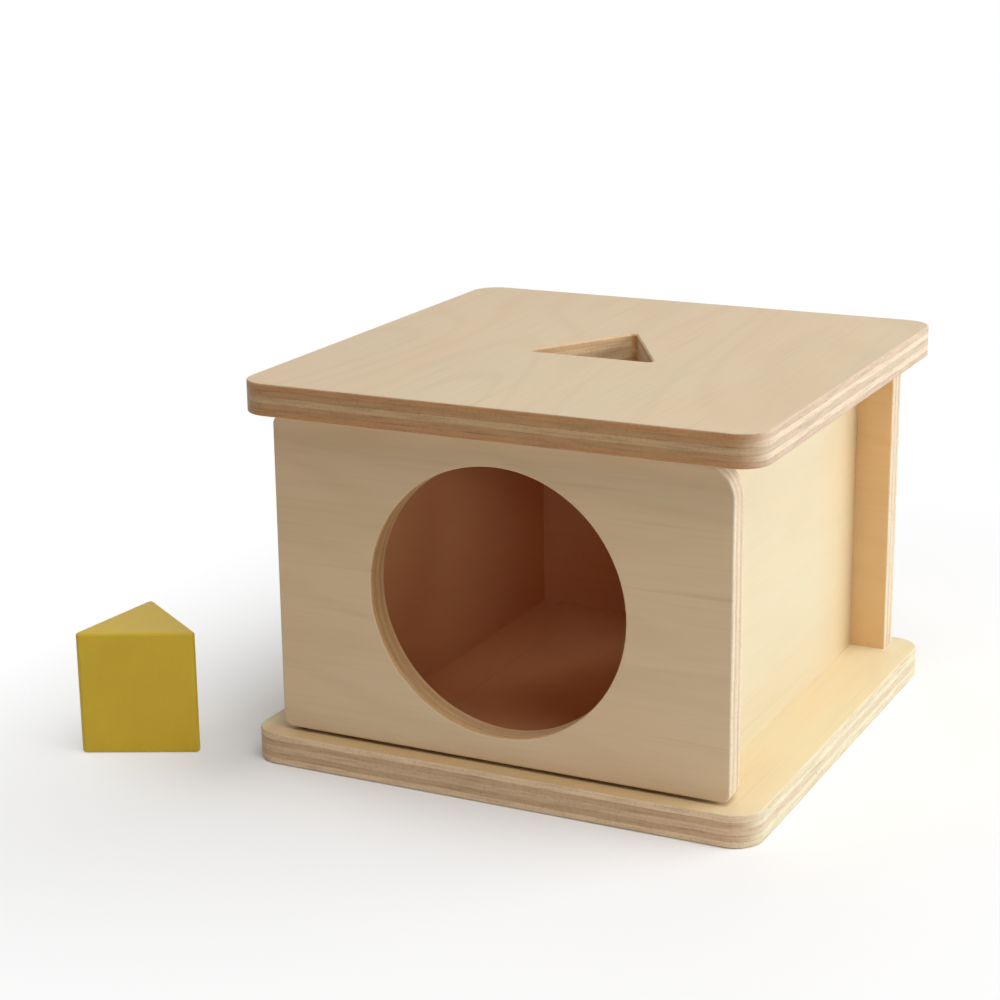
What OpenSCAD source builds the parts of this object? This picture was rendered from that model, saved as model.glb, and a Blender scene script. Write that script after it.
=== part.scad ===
// Object permanence box: a wooden box with a triangular posting slot in its lid,
// a swinging front door with a round retrieval port and one loose triangular prism to post.
// Millimetres, +Z up, the front faces -Y, the origin is the middle of the base's underside.

/* [Plates] */
// Width of the base and of the lid, left to right
plate_w = 180; // [170:1:230]
// Depth of the base and of the lid, front to back
plate_d = 180; // [160:1:230]
// Thickness of the base and of the lid
plate_t = 10.8; // [8:0.2:16]
// Radius of the plates' corners
plate_corner_r = 10; // [4:0.5:20]
// Easing of the plates' arrises
plate_edge_r = 0.6; // [0.3:0.1:2]

/* [Walls] */
// Clear height between the base and the lid
wall_h = 109.6; // [102:0.2:150]
// Thickness of the four walls
wall_t = 9; // [8:0.5:14]
// How far the plates stand out past the ends of the door and the back panel
end_overhang = 10; // [4:0.5:14]
// How far the plates stand out past the faces of the door and the back panel
face_overhang = 6; // [2:0.5:14]
// How far the side panels are set in from the ends of the door and the back panel
side_recess = 13; // [12:0.5:18]
// Easing of the arrises of the door and the back panel
panel_edge_r = 0.7; // [0.3:0.1:2]

/* [Door] */
// Gap between the door's foot and the base
door_foot_gap = 1.1; // [0.6:0.1:3.5]
// Gap between the door's head and the lid
door_head_gap = 0.8; // [0.4:0.1:3]
// Gap between the shut door and the front ends of the side panels
door_rest_gap = 0.4; // [0.2:0.1:2]
// Radius of the door's corners, apart from the one that it is pulled by
door_corner_r = 3; // [2.2:0.2:14]
// Radius of the corner that it is pulled by, at the top of its free end
pull_corner_r = 11; // [3:0.5:30]
// Diameter of the two pins that the door turns on
pivot_d = 4; // [3:0.5:5]
// Distance from the door's hinged end to the line it turns about
pivot_inset = 6; // [4:0.5:6.5]
// How deep a pivot pin sits in its plate
pivot_plate_depth = 6; // [4:0.5:7]
// How deep a pivot pin reaches into the door
pivot_door_depth = 8; // [5:0.5:14]
// Play between a pivot pin and its bore in the door, on the diameter
pivot_play = 0.16; // [0.04:0.02:0.2]
// Room past a pivot pin's end in the door
pivot_end_room = 0.1; // [0.05:0.05:0.5]

/* [Port] */
// Diameter of the round port in the door
port_d = 90; // [50:1:94]
// Easing of the port's two rims
port_edge_r = 0.5; // [0.3:0.1:2]

/* [Prism and slot] */
// Side of the prism's triangle, measured to its sharp corners
prism_side = 42.5; // [25:0.5:60]
// Height of the prism
prism_h = 43; // [20:1:80]
// Radius of the prism's upright corners
prism_corner_r = 1.6; // [1.2:0.1:4]
// Easing of the prism's top and bottom arrises
prism_edge_r = 1; // [0.3:0.1:1.5]
// Gap between the prism and each side of the slot when it passes through
slot_clearance = 1.4; // [0.5:0.05:3]
// Radius of the slot's corners
slot_corner_r = 1.6; // [0.4:0.1:2]
// Chamfer around the slot's two rims
slot_chamfer = 0.5; // [0.2:0.1:1.5]
// How far the slot's middle lies behind the middle of the lid
slot_back = 2.4; // [-15:0.2:15]
// Distance from the base's left edge to the middle of the prism beside it
prism_standoff = 42.5; // [40:0.5:90]
// Turn of the prism about its own upright axis, in degrees
prism_turn = 25.5; // [0:0.5:119]

/* [Dowels] */
// Diameter of a dowel
dowel_d = 5; // [3:0.5:6]
// Length of a dowel
dowel_l = 20; // [14:1:26]
// How deep a dowel sits in the plate or panel whose face it enters
dowel_face_depth = 6; // [4:0.5:7]
// Chamfer at the ends of a dowel or a pivot pin
pin_chamfer = 0.5; // [0.2:0.1:1]
// Distance from the end of a joint to its first dowel
dowel_inset = 30; // [28:0.5:34]
// Play between a dowel and its bore, on the diameter
bore_play = 0.1; // [0.05:0.01:0.3]
// Room for glue past each end of a dowel
glue_room = 0.4; // [0.2:0.1:1]

/* [Hidden] */

$fn = 96;
// The prism's pillars get a step that lands on its three face directions
pillar_fn = 36;
// The slot's small corners turn in flat steps of so many degrees
slot_corner_step = 20;
// How far a cutter runs past the face it opens
past = 1;
// How far the quarters of a board lap over its middle
lap = 5;

plate_wood = [0.83, 0.73, 0.57];
panel_wood = [0.79, 0.67, 0.50];
dowel_wood = [0.80, 0.66, 0.46];
pivot_steel = [0.42, 0.30, 0.20];
prism_paint = [0.72, 0.60, 0.20];

panel_w = plate_w - 2 * end_overhang;
panel_face_y = plate_d / 2 - face_overhang;
panel_mid_y = panel_face_y - wall_t / 2;
side_back_y = panel_face_y - wall_t;
side_front_y = door_rest_gap - side_back_y;
side_mid_x = panel_w / 2 - side_recess - wall_t / 2;
walls_z = plate_t;
lid_z = plate_t + wall_h;
port_z = plate_t + wall_h / 2;
pivot_place = [pivot_inset - panel_w / 2, -panel_mid_y];
slot_side = prism_side + 2 * sqrt(3) * slot_clearance;
prism_place = [-plate_w / 2 - prism_standoff, -plate_d / 2, 0];

// Where the dowels stand, as places in the plane of each joint
side_dowel_ys = [side_front_y + dowel_inset, side_back_y - dowel_inset];
panel_dowel_xs = [-panel_w / 2 + dowel_inset, panel_w / 2 - dowel_inset];
end_dowel_zs = [walls_z + dowel_inset, lid_z - dowel_inset];
side_dowel_places = [for (sx = [-1, 1], y = side_dowel_ys) [sx * side_mid_x, y]];
back_dowel_places = [for (x = panel_dowel_xs) [x, panel_mid_y]];
end_dowel_places = [for (sx = [-1, 1], z = end_dowel_zs) [sx * side_mid_x, z]];
plate_dowel_places = concat(side_dowel_places, back_dowel_places);

// Section of a board with all four arrises eased
module eased_section(w, t, r) {
    square([w - 2 * r, t], center = true);
    square([w, t - 2 * r], center = true);
    for (sx = [-1, 1], sy = [-1, 1])
        translate([sx * (w / 2 - r), sy * (t / 2 - r)])
            circle(r);
}

// The outer part of that section, from its edge inwards by a given width
module eased_edge_section(w, t, r) {
    intersection() {
        eased_section(2 * w, t, r);
        translate([0, -t / 2])
            square([w, t]);
    }
}

// Quarter of a board around the XY plane, from a lap past its middle to its round corner:
// one strip reaches each edge, and a disc rounds the corner between them
module board_quarter(w, h, t, corner_r, edge_r) {
    translate([-lap, h - corner_r, 0])
        rotate([90, 0, 0])
            linear_extrude(h - corner_r + lap)
                eased_edge_section(w + lap, t, edge_r);
    translate([-lap, -lap, 0])
        rotate([90, 0, 90])
            linear_extrude(w - corner_r + lap)
                eased_edge_section(h + lap, t, edge_r);
    translate([w - corner_r, h - corner_r, 0])
        rotate_extrude()
            eased_edge_section(corner_r, t, edge_r);
}

// Board lying flat on the XY plane, with the radii of its right and left corners, high ones first
module eased_board(w, h, t, right_rs, left_rs, edge_r) {
    corner_rs = [right_rs, left_rs];
    translate([0, 0, t / 2])
        for (left = [0, 1], low = [0, 1])
            mirror([left, 0, 0])
                mirror([0, low, 0])
                    board_quarter(w / 2, h / 2, t, corner_rs[left][low], edge_r);
}

// Base or lid without its holes, lying flat on the XY plane
module blank_plate() {
    corner_rs = [plate_corner_r, plate_corner_r];
    eased_board(plate_w, plate_d, plate_t, corner_rs, corner_rs, plate_edge_r);
}

// Distance from a triangle's middle to the middles of its round corners
function corner_reach(side, r) = side / sqrt(3) - 2 * r;

// Those middles, with one flat side of the triangle towards -Y
function corner_middles(side, r) =
    [for (a = [90, 210, 330]) corner_reach(side, r) * [cos(a), sin(a)]];

// Outline of the slot grown outwards on every side, its middle on the origin
function slot_outline(grow) =
    let (middles = corner_middles(slot_side, slot_corner_r))
        [for (i = [0:2], turn = [-60:slot_corner_step:60])
            let (a = 90 + 120 * i + turn)
                middles[i] + (slot_corner_r + grow) * [cos(a), sin(a)]];

// Round pin that stands on the XY plane, with both ends chamfered
module pin(d, l) {
    straight = l - 2 * pin_chamfer;
    tip_d = d - 2 * pin_chamfer;
    cylinder(d1 = tip_d, d2 = d, h = pin_chamfer);
    translate([0, 0, pin_chamfer])
        cylinder(d = d, h = straight);
    translate([0, 0, pin_chamfer + straight])
        cylinder(d1 = d, d2 = tip_d, h = pin_chamfer);
}

// Dowel that crosses the XY plane where two pieces meet: the short end below, the long end above
module dowel() {
    translate([0, 0, -dowel_face_depth])
        pin(dowel_d, dowel_l);
}

// Hole drilled for that dowel through both pieces
module dowel_bore() {
    translate([0, 0, -dowel_face_depth - glue_room])
        cylinder(d = dowel_d + bore_play, h = dowel_l + 2 * glue_room);
}

// Pivot pin from below a plate's face, across the gap above it and up into the door
module pivot_pin(gap) {
    translate([0, 0, -pivot_plate_depth])
        pin(pivot_d, pivot_plate_depth + gap + pivot_door_depth);
}

// Hole in the plate that the pivot pin is glued into
module pivot_seat() {
    translate([0, 0, -pivot_plate_depth - glue_room])
        cylinder(d = pivot_d + bore_play, h = pivot_plate_depth + glue_room + past);
}

// Hole in the door that turns on the pivot pin
module pivot_bore(gap) {
    cylinder(d = pivot_d + pivot_play, h = gap + pivot_door_depth + pivot_end_room);
}

// Puts what follows at each place of an upright joint, short end down in the base
module at_base(places) {
    for (p = places)
        translate([p[0], p[1], walls_z])
            children();
}

// Puts what follows at each place of an upright joint, short end up in the lid
module at_lid(places) {
    for (p = places)
        translate([p[0], p[1], lid_z])
            mirror([0, 0, 1])
                children();
}

// Puts what follows where the sides' rear ends meet the back panel, short end in the panel
module at_back_ends() {
    for (p = end_dowel_places)
        translate([p[0], side_back_y, p[1]])
            rotate([90, 0, 0])
                children();
}

// Cutter for the slot through a plate centred on the XY plane: straight at its middle,
// flaring at both ends so that it leaves a chamfer around each rim
module slot_cutter() {
    straight = plate_t / 2 - slot_chamfer;
    flare = slot_chamfer + past;
    levels = [[-straight - flare, flare], [-straight, 0], [straight, 0], [straight + flare, flare]];
    points = [for (level = levels, p = slot_outline(level[1])) [p[0], p[1], level[0]]];
    count = len(slot_outline(0));
    last_ring = len(levels) - 1;
    walls = [
        for (ring = [0:last_ring - 1], i = [0:count - 1])
            let (here = ring * count, next = (i + 1) % count)
                [here + i, here + count + i, here + count + next, here + next]
    ];
    low_end = [for (i = [0:count - 1]) i];
    high_end = [for (i = [count - 1:-1:0]) last_ring * count + i];
    polyhedron(points, concat(walls, [low_end, high_end]));
}

// Cutter for the port along Z through a panel that lies on the XY plane
module port_cutter() {
    port_r = port_d / 2;
    rim_r = port_r + port_edge_r;
    rotate_extrude()
        difference() {
            union() {
                translate([0, -past])
                    square([port_r, wall_t + 2 * past]);
                translate([0, -past])
                    square([rim_r, past + port_edge_r]);
                translate([0, wall_t - port_edge_r])
                    square([rim_r, past + port_edge_r]);
            }
            for (y = [port_edge_r, wall_t - port_edge_r])
                translate([rim_r, y])
                    circle(port_edge_r);
        }
}

module base_plate() {
    color(plate_wood)
        difference() {
            blank_plate();
            at_base(plate_dowel_places)
                dowel_bore();
            at_base([pivot_place])
                pivot_seat();
        }
}

module lid_plate() {
    color(plate_wood)
        difference() {
            translate([0, 0, lid_z])
                blank_plate();
            translate([0, slot_back, lid_z + plate_t / 2])
                slot_cutter();
            at_lid(plate_dowel_places)
                dowel_bore();
            at_lid([pivot_place])
                pivot_seat();
        }
}

module front_door() {
    door_h = wall_h - door_foot_gap - door_head_gap;
    color(panel_wood)
        difference() {
            translate([0, -panel_face_y + wall_t, walls_z + door_foot_gap + door_h / 2])
                rotate([90, 0, 0])
                    eased_board(panel_w, door_h, wall_t,
                                [pull_corner_r, door_corner_r], [door_corner_r, door_corner_r],
                                panel_edge_r);
            translate([0, -panel_face_y + wall_t, port_z])
                rotate([90, 0, 0])
                    port_cutter();
            at_base([pivot_place])
                pivot_bore(door_foot_gap);
            at_lid([pivot_place])
                pivot_bore(door_head_gap);
        }
}

module back_panel() {
    color(panel_wood)
        difference() {
            translate([0, panel_mid_y, walls_z])
                linear_extrude(wall_h)
                    eased_section(panel_w, wall_t, panel_edge_r);
            at_base(back_dowel_places)
                dowel_bore();
            at_lid(back_dowel_places)
                dowel_bore();
            at_back_ends()
                dowel_bore();
        }
}

module side_panel(mid_x) {
    color(panel_wood)
        difference() {
            translate([mid_x - wall_t / 2, side_front_y, walls_z])
                cube([wall_t, side_back_y - side_front_y, wall_h]);
            at_base(side_dowel_places)
                dowel_bore();
            at_lid(side_dowel_places)
                dowel_bore();
            at_back_ends()
                dowel_bore();
        }
}

module left_side_panel() {
    side_panel(-side_mid_x);
}

module right_side_panel() {
    side_panel(side_mid_x);
}

module door_pivots() {
    color(pivot_steel) {
        at_base([pivot_place])
            pivot_pin(door_foot_gap);
        at_lid([pivot_place])
            pivot_pin(door_head_gap);
    }
}

module base_dowels() {
    color(dowel_wood)
        at_base(plate_dowel_places)
            dowel();
}

module lid_dowels() {
    color(dowel_wood)
        at_lid(plate_dowel_places)
            dowel();
}

module back_panel_dowels() {
    color(dowel_wood)
        at_back_ends()
            dowel();
}

// Stretched over an eased pillar at each of its three corners
module triangular_prism() {
    $fn = pillar_fn;
    color(prism_paint)
        translate(prism_place + [0, 0, prism_h / 2])
            rotate([0, 0, prism_turn])
                hull()
                    for (m = corner_middles(prism_side, prism_corner_r))
                        translate(m)
                            rotate_extrude()
                                eased_edge_section(prism_corner_r, prism_h, prism_edge_r);
}

base_plate();
lid_plate();
front_door();
back_panel();
left_side_panel();
right_side_panel();
door_pivots();
base_dowels();
lid_dowels();
back_panel_dowels();
triangular_prism();
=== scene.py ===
# Looks of the object permanence box: plywood boards, a painted prism, floor, light and camera.
# Metres, +Z up, the front faces -Y, in the same frame as the solids.
import math
from collections import namedtuple

import bpy
from mathutils import Euler, Matrix, Vector


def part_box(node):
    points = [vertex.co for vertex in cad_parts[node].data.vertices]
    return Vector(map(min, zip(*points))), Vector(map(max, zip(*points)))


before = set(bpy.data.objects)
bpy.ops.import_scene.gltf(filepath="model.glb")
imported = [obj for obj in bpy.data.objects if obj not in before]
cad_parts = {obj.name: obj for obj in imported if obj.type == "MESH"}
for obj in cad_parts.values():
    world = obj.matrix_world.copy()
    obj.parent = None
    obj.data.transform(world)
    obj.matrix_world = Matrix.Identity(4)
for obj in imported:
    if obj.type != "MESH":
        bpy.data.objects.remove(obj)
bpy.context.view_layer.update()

AXES = "XYZ"
MM = 0.001
BLACK = (0.0, 0.0, 0.0, 1.0)
WHITE = (1.0, 1.0, 1.0, 1.0)

# Camera: where it stands, how it looks and how long its lens is
CAMERA_PLACE = (0.3098, -0.7010, 0.2977)
CAMERA_AZIMUTH = math.radians(26.49)
CAMERA_ELEVATION = math.radians(15.97)
CAMERA_ROLL = math.radians(-0.69)
CAMERA_LENS_MM = 82.84
CAMERA_SENSOR_MM = 36.0

# Light: a low window behind on the right, panels above and at the left, a card in front and a white room
Lamp = namedtuple("Lamp", "place width height watts")
LAMPS = {
    "side_window": Lamp((1.3, 0.75, 0.45), 1.6, 0.8, 25.8),
    "top_panel": Lamp((0.5, -0.25, 1.3), 1.0, 1.0, 13.0),
    "left_panel": Lamp((-1.2, 0.2, 1.0), 1.2, 1.2, 5.0),
    "front_card": Lamp((0.9, -1.2, 0.15), 0.8, 0.4, 2.2),
}
LAMP_AIM = (0.0, 0.0, 0.06)
ROOM_STRENGTH = 0.09
ROOM_COLOUR = (1.0, 0.97, 0.93, 1.0)

# Floor: a wide white sheet that fades to full white away from the box, faster to its left and right
FLOOR_SIZE = 8.0
FLOOR_DROP = 0.1 * MM
FLOOR_WHITE = (0.90, 0.90, 0.90, 1.0)
FLOOR_GLOW_NEAR = 0.06
FLOOR_FADE_REACH = 0.23
FLOOR_FADE_POWER = 0.85
FLOOR_FADE_SPEED = (1.7, 1.0, 1.0)

# A pattern of soft noise: how many millimetres apart its blotches are, how far they are drawn out,
# and the noise's detail, roughness and distortion
Pattern = namedtuple("Pattern", "size stretch detail roughness distortion", defaults=(1.0, 2.0, 0.5, 0.0))
# Between these lie most values of such a pattern
SPREAD = (0.3, 0.7)

# Marks on a surface: the values of a pattern at which they begin and are full, how strongly they show then,
# and how much of each colour they leave
Mark = namedtuple("Mark", "begins full strength tone")


def srgb(red, green, blue):
    """A colour given as on a screen, from 0 to 255, as linear light with alpha."""
    def linear(level):
        share = level / 255
        return share / 12.92 if share <= 0.04045 else ((share + 0.055) / 1.055) ** 2.4
    return (linear(red), linear(green), linear(blue), 1.0)


def shaded(tone, shares):
    """A tone with its three levels of light multiplied."""
    return tuple(level * share for level, share in zip(srgb(*tone), shares)) + (1.0,)


def ratio(tone, other):
    """How much of each colour turns the other tone into this one."""
    return tuple(a / b for a, b in zip(srgb(*tone), srgb(*other)))


def stretched(axes, length):
    """Scale that draws a pattern out along some axes by a given length."""
    return tuple(1 / length if name in axes else 1.0 for name in AXES)


class Graph:
    """The node tree of a material or a world, with one short method for each kind of node that it uses."""

    def __init__(self, owner, output="ShaderNodeOutputMaterial"):
        owner.use_nodes = True
        self.owner = owner
        self.tree = owner.node_tree
        self.tree.nodes.clear()
        self.surface = self.add(output).inputs["Surface"]

    def add(self, kind, **settings):
        node = self.tree.nodes.new(kind)
        for name, value in settings.items():
            setattr(node, name, value)
        return node

    def feed(self, socket, value):
        """Sets an input to a number, or links it to another node's output."""
        if isinstance(value, bpy.types.NodeSocket):
            self.tree.links.new(value, socket)
        else:
            socket.default_value = value

    def feed_all(self, node, **values):
        """Feeds inputs by their names, with an underscore for each space."""
        for name, value in values.items():
            self.feed(node.inputs[name.replace("_", " ")], value)

    def math(self, operation, first, second=0.0, clamp=False):
        node = self.add("ShaderNodeMath", operation=operation, use_clamp=clamp)
        self.feed(node.inputs[0], first)
        self.feed(node.inputs[1], second)
        return node.outputs[0]

    def vector(self, operation, first, second=(0.0, 0.0, 0.0)):
        node = self.add("ShaderNodeVectorMath", operation=operation)
        self.feed(node.inputs[0], first)
        self.feed(node.inputs[1], second)
        return node.outputs["Vector"]

    def length(self, vector):
        node = self.add("ShaderNodeVectorMath", operation="LENGTH")
        self.feed(node.inputs[0], vector)
        return node.outputs["Value"]

    def parts(self, vector):
        node = self.add("ShaderNodeSeparateXYZ")
        self.feed(node.inputs[0], vector)
        return node.outputs

    def remap(self, value, low, high, to_low=0.0, to_high=1.0, smooth=False):
        node = self.add("ShaderNodeMapRange", interpolation_type="SMOOTHSTEP" if smooth else "LINEAR")
        self.feed_all(node, Value=value, From_Min=low, From_Max=high, To_Min=to_low, To_Max=to_high)
        return node.outputs["Result"]

    def mix(self, factor, first, second, blend="MIX"):
        """A blend of two colours."""
        node = self.add("ShaderNodeMix", data_type="RGBA", blend_type=blend)
        self.feed(node.inputs["Factor"], factor)
        self.feed(node.inputs[6], first)
        self.feed(node.inputs[7], second)
        return node.outputs[2]

    def stripes(self, value, spans, blur):
        """White within each span of the value and black between them, with soft ends."""
        stops = [(0.0, BLACK)]
        for start, end in spans:
            stops.append((start - blur, BLACK))
            if start == end:
                stops.append((start, WHITE))
            else:
                stops.append((start + blur, WHITE))
                stops.append((end - blur, WHITE))
            stops.append((end + blur, BLACK))
        node = self.add("ShaderNodeValToRGB")
        elements = node.color_ramp.elements
        while len(elements) < len(stops):
            elements.new(1.0)
        for element, (place, colour) in zip(elements, stops):
            element.position = place
            element.color = colour
        self.feed(node.inputs["Fac"], value)
        return node.outputs["Color"]

    def mapped(self, vector, scale, shift=0.0):
        node = self.add("ShaderNodeMapping")
        self.feed_all(node, Vector=vector, Scale=scale, Location=(shift, shift, shift))
        return node.outputs["Vector"]

    def noise(self, place, pattern, along="", shift=0.0):
        """A pattern of soft noise, drawn out along some axes."""
        vector = self.mapped(place, stretched(along, pattern.stretch), shift)
        node = self.add("ShaderNodeTexNoise")
        self.feed_all(node, Vector=vector, Scale=1 / (pattern.size * MM), Detail=pattern.detail,
                      Roughness=pattern.roughness, Distortion=pattern.distortion)
        return node.outputs["Fac"]

    def dots(self, vector, size):
        """Distance to the nearest of many scattered points, the given size in millimetres apart."""
        node = self.add("ShaderNodeTexVoronoi")
        self.feed_all(node, Vector=vector, Scale=1 / (size * MM))
        return node.outputs["Distance"]

    def bump(self, height, depth, strength=1.0):
        node = self.add("ShaderNodeBump")
        self.feed_all(node, Height=height, Distance=depth, Strength=strength)
        return node.outputs["Normal"]

    def place_and_normal(self):
        """The point and the surface's direction at it, in the frame of the object."""
        node = self.add("ShaderNodeTexCoord")
        return node.outputs["Object"], node.outputs["Normal"]

    def seen(self):
        """One for what is looked at, directly, in a mirror or through glass, and zero for other light."""
        path = self.add("ShaderNodeLightPath").outputs
        indirectly = self.math("MAXIMUM", path["Is Glossy Ray"], path["Is Transmission Ray"])
        return self.math("MAXIMUM", path["Is Camera Ray"], indirectly)

    def finish_blend(self, factor, first, second):
        """Ends the tree in a blend of two shaders."""
        node = self.add("ShaderNodeMixShader")
        self.feed(node.inputs["Fac"], factor)
        self.feed(node.inputs[1], first.outputs[0])
        self.feed(node.inputs[2], second.outputs[0])
        self.feed(self.surface, node.outputs["Shader"])
        return self.owner

    def finish(self, colour, roughness, normal, specular, metallic=0.0):
        """Ends the tree in one plain surface."""
        shader = self.add("ShaderNodeBsdfPrincipled")
        self.feed_all(shader, Base_Color=colour, Roughness=roughness, Normal=normal)
        shader.inputs["Specular IOR Level"].default_value = specular
        shader.inputs["Metallic"].default_value = metallic
        self.feed(self.surface, shader.outputs["BSDF"])
        return self.owner


# Tones of the five layers of a kind of plywood where they are cut along and across their grain
Layers = namedtuple("Layers", "outer_along outer_end core_along core_end cross_along cross_end")
LID_LAYERS = Layers(
    outer_along=(184, 162, 140), outer_end=(185, 136, 90),
    core_along=(181, 163, 141), core_end=(194, 159, 117),
    cross_along=(178, 138, 95), cross_end=(202, 184, 159),
)
BASE_LAYERS = Layers(
    outer_along=(198, 186, 158), outer_end=(230, 200, 163),
    core_along=(195, 178, 153), core_end=(218, 186, 151),
    cross_along=(203, 169, 132), cross_end=(204, 196, 168),
)
WALL_LAYERS = Layers(
    outer_along=(226, 214, 196), outer_end=(207, 191, 166),
    core_along=(224, 208, 186), core_end=(204, 187, 161),
    cross_along=(193, 172, 144), cross_end=(216, 203, 178),
)

# A board: the axis through its thickness, the axis of its face veneer's grain, the tone of that veneer,
# its layers, how strongly its figure shows, and a shift for a figure of its own
Board = namedtuple("Board", "through grain veneer layers figure shift")
BOARDS = {
    "base_plate": Board("Z", "Y", (227, 212, 175), BASE_LAYERS, 1.0, 3.1),
    "lid_plate": Board("Z", "Y", (210, 189, 157), LID_LAYERS, 1.5, 0.0),
    "front_door": Board("Y", "X", (228, 202, 165), WALL_LAYERS, 1.5, 5.3),
    "back_panel": Board("Y", "X", (220, 205, 170), WALL_LAYERS, 1.0, 7.7),
    "left_side_panel": Board("X", "Y", (208, 192, 160), WALL_LAYERS, 0.7, 9.2),
    "right_side_panel": Board("X", "Y", (204, 192, 162), WALL_LAYERS, 0.7, 11.6),
}

# Painted light and shade over some boards' veneer, and one plain change of tone: the axis, the two shares of
# the board's reach between which it changes, and how much of each colour is left at the second. The door
# darkens towards its head as painted shade under the lid; the side panels darken near the back panel as
# painted shade and lighten towards the top as painted light; the back panel lightens towards its top as
# painted light; the lid darkens towards its left end
Gradient = namedtuple("Gradient", "axis start end tone")
SIDE_PAINTED_SHADE = (
    Gradient("Y", 0.72, 1.0, (1.0, 0.88, 0.74, 1.0)),
    Gradient("Z", 0.5, 1.0, (1.06, 1.04, 1.05, 1.0)),
)
TONE_AND_SHADE_GRADIENTS = {
    "lid_plate": (Gradient("X", 0.7, 0.0, (0.97, 0.955, 0.94, 1.0)),),
    "front_door": (Gradient("Z", 0.0, 1.0, (0.87, 0.84, 0.80, 1.0)),),
    "back_panel": (Gradient("Z", 0.5, 1.0, (1.08, 1.08, 1.05, 1.0)),),
    "left_side_panel": SIDE_PAINTED_SHADE,
    "right_side_panel": SIDE_PAINTED_SHADE,
}

# Veneer: two close tones in broad bands, and the marks over them, drawn out along the grain
VENEER_BANDS = Pattern(22.0, stretch=6.0, detail=3.0, distortion=0.4)
PINK_BAND = (1.0, 0.955, 0.92)
GREY_BAND = (0.97, 1.0, 1.0)
CLOUDS = Pattern(45.0, stretch=2.5, distortion=0.3)
CLOUD_MARK = Mark(0.35, 0.75, 0.35, (0.90, 0.87, 0.84))
SWELL = Pattern(110.0, stretch=5.0, distortion=0.6)
SWELL_TURNS = 95.0
CONTOUR_MARK = Mark(0.2, 1.0, 0.10, (0.80, 0.70, 0.60))
FIBRES = Pattern(1.3, stretch=30.0, detail=3.0, roughness=0.6)
THREAD_MARK = Mark(0.45, 0.8, 0.14, (0.74, 0.64, 0.54))
HAIRS = Pattern(3.0, stretch=45.0, distortion=0.2)
HAIR_MARK = Mark(0.66, 0.78, 0.22, (0.66, 0.55, 0.44))

# Layers: where one of a board's five ends and the next begins, as shares of its thickness
LAYER_ENDS = (0.21, 0.39, 0.61, 0.79)
LAYER_BLUR = 0.011
# How far the layers waver up and down, in long and in short waves
Waver = namedtuple("Waver", "pattern reach")
DRIFT = Waver(Pattern(38.0), 0.014)
RIPPLE = Waver(Pattern(7.0), 0.006)

# Cut edges: glue lines that come and go, streaks along the layers, mottle and a few pits,
# whose radii are shares of their distance apart
GLUE_HALF_WIDTH = 0.014
GLUE_TONE = (0.68, 0.62, 0.56, 1.0)
GLUE_PATCHES = Pattern(14.0, stretch=0.5)
GLUE_PATCH_SPREAD = (0.35, 0.7)
GLUE_PATCH_STRENGTHS = (0.1, 0.9)
STREAKS = Pattern(0.9, stretch=16.0, detail=4.0, roughness=0.65)
DARK_STREAK_MARK = Mark(0.5, 0.78, 1.0, (0.72, 0.68, 0.64))
LIGHT_STREAK_MARK = Mark(0.5, 0.25, 1.0, (1.12, 1.12, 1.12))
MOTTLE = Pattern(1.1, detail=3.0, roughness=0.6)
MOTTLE_MARK = Mark(0.5, 0.8, 1.0, (0.80, 0.77, 0.74))
PITS_APART = 14.0
PIT_STRETCH = 1.6
PIT_RADII = (0.015, 0.03)
PIT_STRENGTH = 0.55
PIT_TONE = (92, 62, 40)

# Painted warm shade on the faces inside the box, for its dim light thrown between the walls, and how far
# past the space in it a face still counts as inside
INSIDE_PAINTED_SHADE = (240, 177, 123)
INSIDE_SHADE_STRENGTH = 0.9
INSIDE_SHADE_MARGIN = 0.05 * MM
PARTLY_INSIDE = ("base_plate", "lid_plate", "back_panel")

# Lighter painted warm shade, for light thrown back from nearby wood, on the inner faces that reach beyond
# the box or swing out of it
WARM_PAINTED_SHADE = {
    "base_plate": (213, 183, 138),
    "back_panel": (229, 193, 143),
    "front_door": (229, 193, 143),
}
# Over these lengths from the base's left and right ends the painted warm shade along the door's foot comes
# up
FOOT_SHADE_FADES = (8 * MM, 36 * MM)

# Walls of the holes: how much of each colour they keep, and how far in from the outline they start. The
# door's port walls take a painted warm shade; the lid's slot walls are made lighter
HOLE_TONE_AND_SHADE = {"lid_plate": (1.32, 1.28, 1.06, 1.0), "front_door": (1.0, 0.76, 0.5, 1.0)}
HOLE_INSET = 6 * MM

# How squarely a point looks along an axis where it turns from a cut edge to a face, and to an inner face
FACE_TURN = (0.72, 0.92)
INNER_TURN = (0.5, 0.6)

# Lacquer over the wood
EDGE_ROUGHNESS = 0.62
FACE_ROUGHNESS = 0.5
LACQUER_SPECULAR = 0.3
LACQUER_RELIEF = 0.03 * MM
LACQUER_RELIEF_STRENGTH = 0.6


def cavity():
    """Middle and half size of the space that the plates and walls enclose."""
    low = (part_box("left_side_panel")[1][0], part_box("front_door")[1][1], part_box("base_plate")[1][2])
    high = (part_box("right_side_panel")[0][0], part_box("back_panel")[0][1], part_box("lid_plate")[0][2])
    middle = tuple((a + b) / 2 for a, b in zip(low, high))
    half = tuple((b - a) / 2 for a, b in zip(low, high))
    return middle, half


def inside_box(graph, place):
    """One on the faces within the space that the plates and walls enclose, zero elsewhere."""
    middle, half = cavity()
    from_middle = graph.vector("ABSOLUTE", graph.vector("SUBTRACT", place, middle))
    past = graph.parts(graph.vector("SUBTRACT", from_middle, tuple(h + INSIDE_SHADE_MARGIN for h in half)))
    furthest = graph.math("MAXIMUM", past[0], graph.math("MAXIMUM", past[1], past[2]))
    return graph.math("LESS_THAN", furthest, 0.0)


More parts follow.
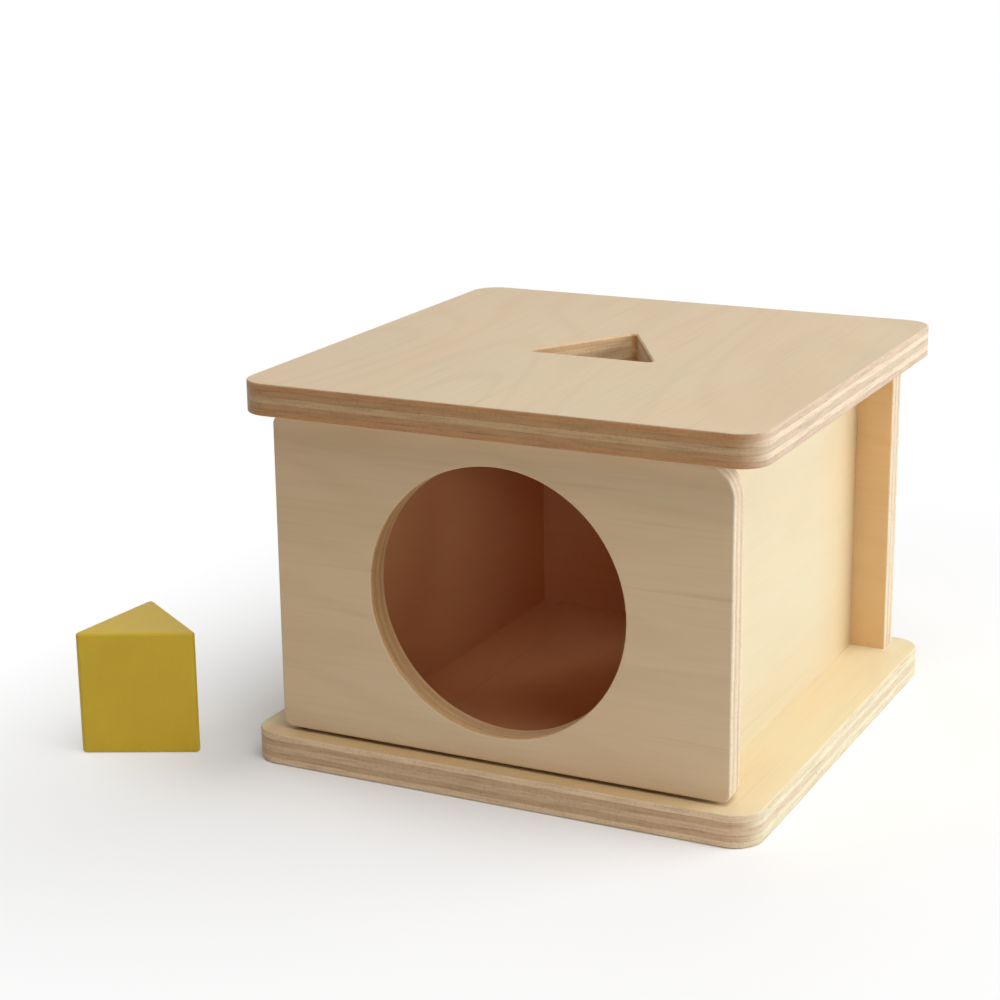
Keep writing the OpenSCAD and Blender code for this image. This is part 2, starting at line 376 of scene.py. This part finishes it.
def foot_shade_strip(graph, place):
    """One along the foot of the door, where warm shade is painted, fading out before the base's ends."""
    door_low, door_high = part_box("front_door")
    base_low, base_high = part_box("base_plate")
    along, across, _ = graph.parts(place)
    past_left = graph.remap(along, base_low[0], base_low[0] + FOOT_SHADE_FADES[0], smooth=True)
    before_right = graph.remap(along, base_high[0], base_high[0] - FOOT_SHADE_FADES[1], smooth=True)
    before_door = graph.remap(across, door_high[1], door_low[1], smooth=True)
    return graph.math("MULTIPLY", graph.math("MULTIPLY", past_left, before_right), before_door)


def hole_wall(graph, place, node, board):
    """One where the board is cut away from its outline, as in a slot or a port."""
    low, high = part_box(node)
    middle = tuple((a + b) / 2 for a, b in zip(low, high))
    from_middle = graph.parts(graph.vector("ABSOLUTE", graph.vector("SUBTRACT", place, middle)))
    insets = [
        graph.math("SUBTRACT", (high[index] - low[index]) / 2, from_middle[index])
        for index, name in enumerate(AXES) if name != board.through
    ]
    return graph.math("GREATER_THAN", graph.math("MINIMUM", *insets), HOLE_INSET)


def tone_and_shade_gradient(graph, place, node, gradient, veneer):
    """The veneer with a slow change along the board, mostly painted light and shade."""
    axis = AXES.index(gradient.axis)
    low, high = (corner[axis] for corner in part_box(node))
    start = low + (high - low) * gradient.start
    end = low + (high - low) * gradient.end
    return graph.mix(graph.remap(graph.parts(place)[axis], start, end), veneer, gradient.tone, "MULTIPLY")


def painted_inner_shade(graph, place, normal, node, board, veneer):
    """The veneer of a face that looks inwards, with painted warm shade: a deep one within the box, and a
    lighter one beyond it and on the door.
    """
    through = AXES.index(board.through)
    low, high = (corner[through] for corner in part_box(node))
    inwards = 1.0 if (low + high) / 2 < cavity()[0][through] else -1.0
    facing = graph.remap(graph.math("MULTIPLY", graph.parts(normal)[through], inwards), *INNER_TURN)
    # The door's whole inner face takes the lighter painted warm shade
    if node == "front_door":
        return graph.mix(facing, veneer, ratio(WARM_PAINTED_SHADE[node], board.veneer), "MULTIPLY")
    within = facing
    if node in PARTLY_INSIDE:
        within = graph.math("MULTIPLY", facing, inside_box(graph, place))
    # Lighter painted warm shade beyond the box, and on the base only along the door's foot
    if node in WARM_PAINTED_SHADE:
        reach = foot_shade_strip(graph, place) if node == "base_plate" else 1.0
        beyond = graph.math("SUBTRACT", graph.math("MULTIPLY", facing, reach), within, clamp=True)
        veneer = graph.mix(beyond, veneer, ratio(WARM_PAINTED_SHADE[node], board.veneer), "MULTIPLY")
    # Painted deep warm shade on the faces within the box
    inside_shade = graph.math("MULTIPLY", within, INSIDE_SHADE_STRENGTH)
    return graph.mix(inside_shade, veneer, ratio(INSIDE_PAINTED_SHADE, board.veneer), "MULTIPLY")


def veneer_colour(graph, place, board):
    """Pale rotary-cut veneer: soft bands, clouds, a faint figure, fine threads and a few hairlines."""
    def grained(pattern):
        return graph.noise(place, pattern, board.grain, board.shift)

    def marked(colour, value, mark, figure):
        share = graph.remap(value, mark.begins, mark.full, 0.0, mark.strength * figure)
        return graph.mix(share, colour, shaded(board.veneer, mark.tone))

    pink = shaded(board.veneer, PINK_BAND)
    grey = shaded(board.veneer, GREY_BAND)
    colour = graph.mix(graph.remap(grained(VENEER_BANDS), *SPREAD), pink, grey)
    colour = marked(colour, grained(CLOUDS), CLOUD_MARK, 1.0)
    contours = graph.math("SINE", graph.math("MULTIPLY", grained(SWELL), SWELL_TURNS))
    colour = marked(colour, contours, CONTOUR_MARK, board.figure)
    fibres = grained(FIBRES)
    colour = marked(colour, fibres, THREAD_MARK, board.figure)
    colour = marked(colour, grained(HAIRS), HAIR_MARK, board.figure)
    return colour, fibres


def layer_depth(graph, place, node, board):
    """How deep in the board a point lies, as a share of its thickness, from layers that waver a little."""
    through = AXES.index(board.through)
    low, high = (corner[through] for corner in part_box(node))
    depth = graph.remap(graph.parts(place)[through], low, high)
    flat = graph.mapped(place, tuple(0.0 if name == board.through else 1.0 for name in AXES))

    def wave(waver):
        return graph.remap(graph.noise(flat, waver.pattern), *SPREAD, -waver.reach, waver.reach)

    return graph.math("ADD", depth, graph.math("ADD", wave(DRIFT), wave(RIPPLE)))


def layer_tones(graph, normal, board, depth):
    """Five layers laid crosswise, each with its tone along and across its grain."""
    cross = next(name for name in AXES if name not in (board.through, board.grain))
    directions = graph.parts(normal)
    across_outer = graph.math("POWER", directions[AXES.index(board.grain)], 2.0)
    across_cross = graph.math("POWER", directions[AXES.index(cross)], 2.0)
    tones = Layers(*(srgb(*tone) for tone in board.layers))
    outer = graph.mix(across_outer, tones.outer_along, tones.outer_end)
    core = graph.mix(across_outer, tones.core_along, tones.core_end)
    crosswise = graph.mix(across_cross, tones.cross_along, tones.cross_end)
    is_cross = graph.stripes(depth, [LAYER_ENDS[:2], LAYER_ENDS[2:]], LAYER_BLUR)
    is_core = graph.stripes(depth, [LAYER_ENDS[1:3]], LAYER_BLUR)
    return graph.mix(is_cross, graph.mix(is_core, outer, core), crosswise)


def edge_colour(graph, place, normal, board, depth):
    """The cut edge of a board: its layers under glue lines, streaks, mottle and pits."""
    def marked(colour, value, mark):
        share = graph.remap(value, mark.begins, mark.full, 0.0, mark.strength)
        return graph.mix(share, colour, mark.tone + (1.0,), "MULTIPLY")

    in_plane = AXES.replace(board.through, "")
    lines = graph.stripes(depth, [(joint, joint) for joint in LAYER_ENDS], GLUE_HALF_WIDTH)
    patches = graph.noise(place, GLUE_PATCHES, board.through)
    glue = graph.math("MULTIPLY", lines, graph.remap(patches, *GLUE_PATCH_SPREAD, *GLUE_PATCH_STRENGTHS))
    colour = graph.mix(glue, layer_tones(graph, normal, board, depth), GLUE_TONE, "MULTIPLY")
    streaks = graph.noise(place, STREAKS, in_plane)
    colour = marked(colour, streaks, DARK_STREAK_MARK)
    colour = marked(colour, streaks, LIGHT_STREAK_MARK)
    colour = marked(colour, graph.noise(place, MOTTLE), MOTTLE_MARK)
    pits = graph.dots(graph.mapped(place, stretched(in_plane, PIT_STRETCH)), PITS_APART)
    colour = graph.mix(graph.remap(pits, *PIT_RADII, PIT_STRENGTH, 0.0), colour, srgb(*PIT_TONE))
    return colour, glue, streaks


def plywood(node, board):
    """Clear matt lacquer over plywood, with its layers showing wherever the board is cut."""
    graph = Graph(bpy.data.materials.new(node + "_plywood"))
    place, normal = graph.place_and_normal()
    veneer, fibres = veneer_colour(graph, place, board)
    # Painted light and shade, and one plain change of tone, over the veneer
    for gradient in TONE_AND_SHADE_GRADIENTS.get(node, ()):
        veneer = tone_and_shade_gradient(graph, place, node, gradient, veneer)
    veneer = painted_inner_shade(graph, place, normal, node, board, veneer)
    depth = layer_depth(graph, place, node, board)
    edge, glue, streaks = edge_colour(graph, place, normal, board, depth)
    # Painted warm shade on the door's port walls, and lighter slot walls in the lid
    if node in HOLE_TONE_AND_SHADE:
        edge = graph.mix(hole_wall(graph, place, node, board), edge, HOLE_TONE_AND_SHADE[node], "MULTIPLY")
    faces_out = graph.math("ABSOLUTE", graph.parts(normal)[AXES.index(board.through)])
    on_face = graph.remap(faces_out, *FACE_TURN, smooth=True)
    colour = graph.mix(on_face, edge, veneer)
    roughness = graph.remap(on_face, 0.0, 1.0, EDGE_ROUGHNESS, FACE_ROUGHNESS)
    height = graph.mix(on_face, graph.math("SUBTRACT", streaks, glue), fibres)
    relief = graph.bump(height, LACQUER_RELIEF, LACQUER_RELIEF_STRENGTH)
    return graph.finish(colour, roughness, relief, LACQUER_SPECULAR)


# Dowels: two tones between the fibres and on them
DOWEL_FIBRES = Pattern(0.7, stretch=10.0, detail=3.0, roughness=0.6)
DOWEL_FIBRE_SPREAD = (0.35, 0.7)
DOWEL_TONES = ((214, 184, 140), (190, 154, 108))
DOWEL_ROUGHNESS = (0.6, 0.75)
DOWEL_RELIEF = 0.05 * MM
DOWEL_SPECULAR = 0.3


def dowel_wood():
    """Bare turned wood with upright grain and faint dark pores."""
    graph = Graph(bpy.data.materials.new("dowel_wood"))
    place, _ = graph.place_and_normal()
    fibres = graph.noise(place, DOWEL_FIBRES, "Z")
    pale, dark = (srgb(*tone) for tone in DOWEL_TONES)
    colour = graph.mix(graph.remap(fibres, *DOWEL_FIBRE_SPREAD), pale, dark)
    roughness = graph.remap(fibres, *SPREAD, *DOWEL_ROUGHNESS)
    return graph.finish(colour, roughness, graph.bump(fibres, DOWEL_RELIEF), DOWEL_SPECULAR)


# Pins: two tones of browned steel, in the scratches and between them
SCRATCHES = Pattern(0.4, stretch=20.0, detail=3.0, roughness=0.6)
STEEL_TONES = ((96, 64, 40), (122, 86, 58))
STEEL_ROUGHNESS = (0.45, 0.6)
STEEL_RELIEF = 0.01 * MM
STEEL_SPECULAR = 0.5


def pivot_steel():
    """Steel wire with a dull browned skin and fine scratches along it."""
    graph = Graph(bpy.data.materials.new("pivot_steel"))
    place, _ = graph.place_and_normal()
    scratches = graph.noise(place, SCRATCHES, "Z")
    dark, pale = (srgb(*tone) for tone in STEEL_TONES)
    colour = graph.mix(graph.remap(scratches, *SPREAD), dark, pale)
    roughness = graph.remap(scratches, *SPREAD, *STEEL_ROUGHNESS)
    return graph.finish(colour, roughness, graph.bump(scratches, STEEL_RELIEF), STEEL_SPECULAR, metallic=1.0)


# Paint: two close tones in soft blotches, darker along the block's grain, with a fine peel
PAINT_BLOTCHES = Pattern(16.0, detail=3.0, roughness=0.55)
PAINT_TONES = ((205, 171, 30), (212, 178, 38))
PAINT_GRAIN = Pattern(1.4, stretch=12.0, detail=3.0, roughness=0.6)
PAINT_GRAIN_SPREAD = (0.5, 0.8)
PAINT_GRAIN_STRENGTH = 0.12
PAINT_GRAIN_TONE = (184, 150, 22)
PAINT_GRAIN_HEIGHT = 0.5
PAINT_PEEL = Pattern(0.7)
PAINT_ROUGHNESS = (0.42, 0.52)
PAINT_RELIEF = 0.02 * MM
PAINT_RELIEF_STRENGTH = 0.5
PAINT_SPECULAR = 0.42


def prism_paint():
    """Satin mustard paint rolled over a hardwood block, with the grain just telling through."""
    graph = Graph(bpy.data.materials.new("prism_paint"))
    place, _ = graph.place_and_normal()
    blotches = graph.noise(place, PAINT_BLOTCHES)
    grain = graph.noise(place, PAINT_GRAIN, "Z")
    dark, pale = (srgb(*tone) for tone in PAINT_TONES)
    colour = graph.mix(graph.remap(blotches, *SPREAD), dark, pale)
    telling = graph.remap(grain, *PAINT_GRAIN_SPREAD, 0.0, PAINT_GRAIN_STRENGTH)
    colour = graph.mix(telling, colour, srgb(*PAINT_GRAIN_TONE))
    roughness = graph.remap(blotches, *SPREAD, *PAINT_ROUGHNESS)
    peel = graph.noise(place, PAINT_PEEL)
    height = graph.math("ADD", graph.math("MULTIPLY", grain, PAINT_GRAIN_HEIGHT), peel)
    relief = graph.bump(height, PAINT_RELIEF, PAINT_RELIEF_STRENGTH)
    return graph.finish(colour, roughness, relief, PAINT_SPECULAR)


def floor_paper():
    """White paper that lights the box plainly, and glows to white away from it where it is looked at."""
    graph = Graph(bpy.data.materials.new("floor_white"))
    place, _ = graph.place_and_normal()
    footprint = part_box("base_plate")[1]
    beyond = graph.vector("SUBTRACT", graph.vector("ABSOLUTE", place), footprint)
    distance = graph.length(graph.vector("MULTIPLY", graph.vector("MAXIMUM", beyond), FLOOR_FADE_SPEED))
    reach = graph.math("POWER", graph.remap(distance, 0.0, FLOOR_FADE_REACH), FLOOR_FADE_POWER)
    glow = graph.remap(reach, 0.0, 1.0, FLOOR_GLOW_NEAR, 1.0)
    paper = graph.add("ShaderNodeBsdfDiffuse")
    graph.feed_all(paper, Color=FLOOR_WHITE)
    white = graph.add("ShaderNodeEmission")
    return graph.finish_blend(graph.math("MULTIPLY", graph.seen(), glow), paper, white)


def show(piece):
    """Adds an object to the scene."""
    bpy.context.scene.collection.objects.link(piece)


def make_floor():
    half = FLOOR_SIZE / 2
    corners = [(-half, -half), (half, -half), (half, half), (-half, half)]
    mesh = bpy.data.meshes.new("floor")
    mesh.from_pydata([(x, y, -FLOOR_DROP) for x, y in corners], [], [range(len(corners))])
    mesh.materials.append(floor_paper())
    floor = bpy.data.objects.new("floor", mesh)
    show(floor)


def make_room():
    """White all round: an even soft light, and full white where it is looked at."""
    room = bpy.data.worlds.new("room")
    bpy.context.scene.world = room
    graph = Graph(room, "ShaderNodeOutputWorld")
    light = graph.add("ShaderNodeBackground")
    graph.feed_all(light, Color=ROOM_COLOUR, Strength=ROOM_STRENGTH)
    white = graph.add("ShaderNodeBackground")
    graph.feed_all(white, Color=WHITE)
    graph.finish_blend(graph.seen(), light, white)


def make_lamps():
    for name, lamp in LAMPS.items():
        light = bpy.data.lights.new(name, "AREA")
        light.shape = "RECTANGLE"
        light.size = lamp.width
        light.size_y = lamp.height
        light.energy = lamp.watts
        piece = bpy.data.objects.new(name, light)
        piece.location = lamp.place
        direction = Vector(lamp.place) - Vector(LAMP_AIM)
        piece.rotation_euler = direction.to_track_quat("Z", "Y").to_euler()
        show(piece)


def make_camera():
    lens = bpy.data.cameras.new("camera")
    lens.lens = CAMERA_LENS_MM
    lens.sensor_width = CAMERA_SENSOR_MM
    camera = bpy.data.objects.new("camera", lens)
    aim = Euler((math.pi / 2 - CAMERA_ELEVATION, 0.0, CAMERA_AZIMUTH)).to_matrix().to_4x4()
    camera.matrix_world = Matrix.Translation(CAMERA_PLACE) @ aim @ Matrix.Rotation(CAMERA_ROLL, 4, "Z")
    show(camera)
    bpy.context.scene.camera = camera


def dress(node, material):
    """Gives a solid one material."""
    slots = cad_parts[node].data.materials
    slots.clear()
    slots.append(material)


make_camera()
make_lamps()
make_room()
make_floor()
bpy.context.scene.view_settings.view_transform = "Standard"

for node, board in BOARDS.items():
    dress(node, plywood(node, board))
bare_wood = dowel_wood()
for node in ("base_dowels", "lid_dowels", "back_panel_dowels"):
    dress(node, bare_wood)
dress("door_pivots", pivot_steel())
dress("triangular_prism", prism_paint())
